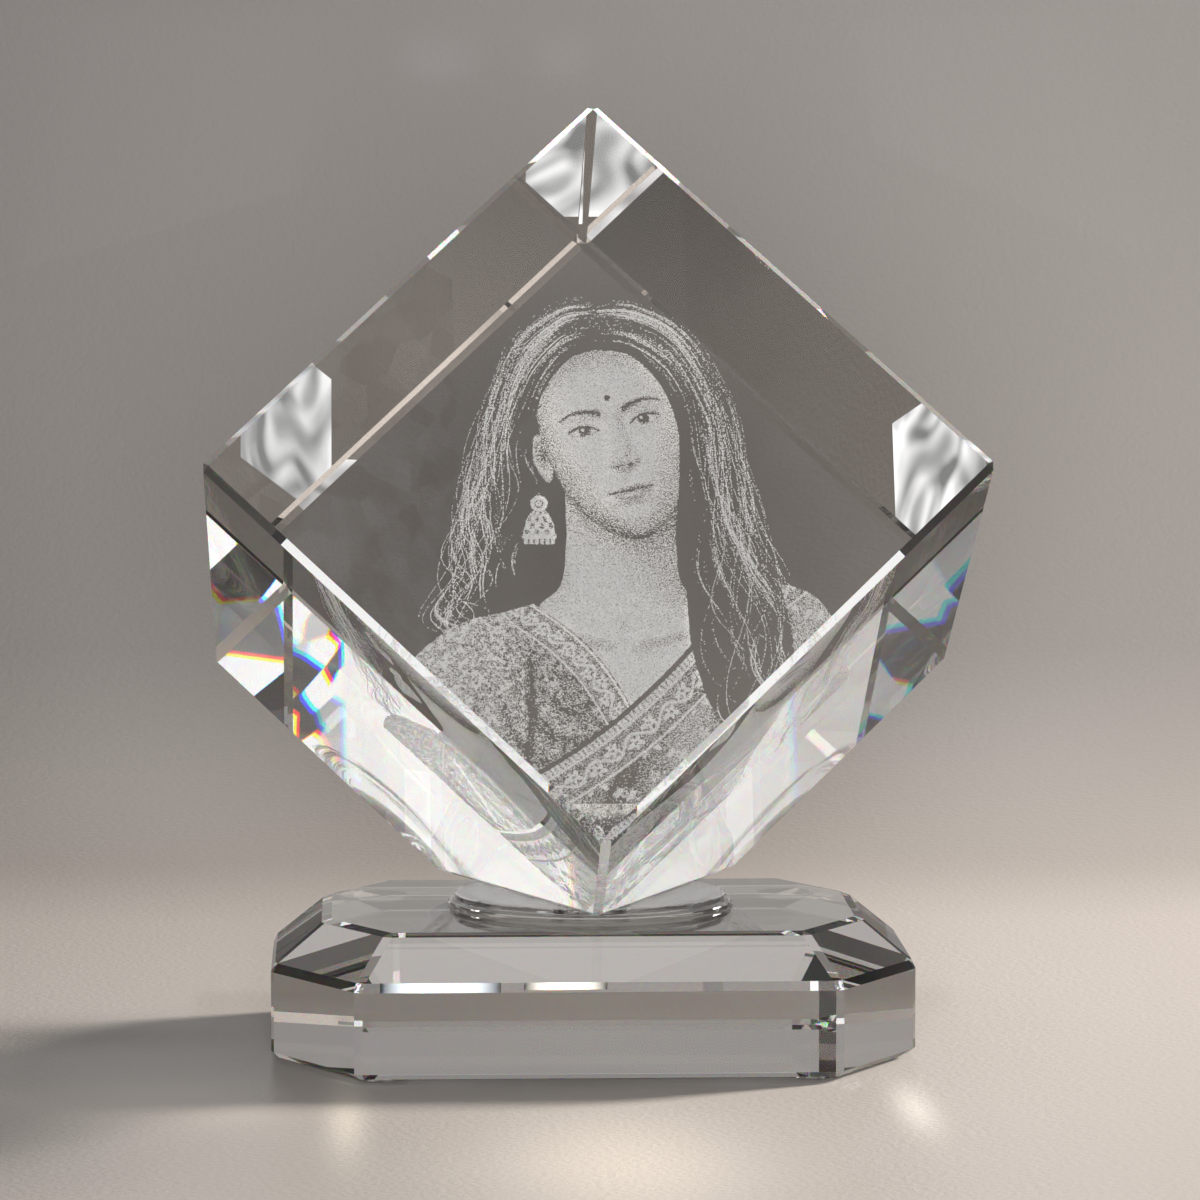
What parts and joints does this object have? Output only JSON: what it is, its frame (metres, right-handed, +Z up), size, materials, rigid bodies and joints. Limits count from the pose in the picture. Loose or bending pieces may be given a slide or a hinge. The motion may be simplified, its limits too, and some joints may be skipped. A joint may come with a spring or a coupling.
{
  "type": "rotating photo cube",
  "caption": "Clear crystal cube standing on a cut-off corner, with a laser-dot bust inside, turning on a thin clear swivel over a bevelled clear base.",
  "frame": {"origin": "on the table, on the turning axis, under the middle of the base", "axes": "+Z up along the turning axis, picture face towards -Y, +X to the viewer's right"},
  "size_m": [0.1118, 0.1196, 0.1384],
  "materials": {
    "crystal": "polished optical crystal, colourless",
    "engraving": "white laser micro-fractures inside the crystal",
    "clear_adhesive": "cured clear adhesive",
    "clear_acrylic": "polished clear acrylic",
    "clear_film": "clear slip film",
    "foot_pad": "clear soft bumper"
  },
  "bodies": {
    "base": {"base_block": "crystal", "foot_front_left": "foot_pad", "foot_front_right": "foot_pad", "foot_back_left": "foot_pad", "foot_back_right": "foot_pad", "base_bond": "clear_adhesive", "lower_plate": "clear_acrylic", "pivot_pin": "clear_acrylic", "pin_cap": "clear_acrylic", "slip_washer": "clear_film"},
    "cube": {"crystal_cube": "crystal", "engraved_head": "engraving", "engraved_hair": "engraving", "engraved_blouse": "engraving", "engraved_drape": "engraving", "engraved_earring": "engraving", "cube_bond": "clear_adhesive", "upper_plate": "clear_acrylic"}
  },
  "joints": [
    {"name": "cube_turn", "type": "hinge", "parent": "base", "child": "cube", "pos_m": [0, 0, 0.0223], "axis": [0, 0, 1], "continuous": true}
  ]
}
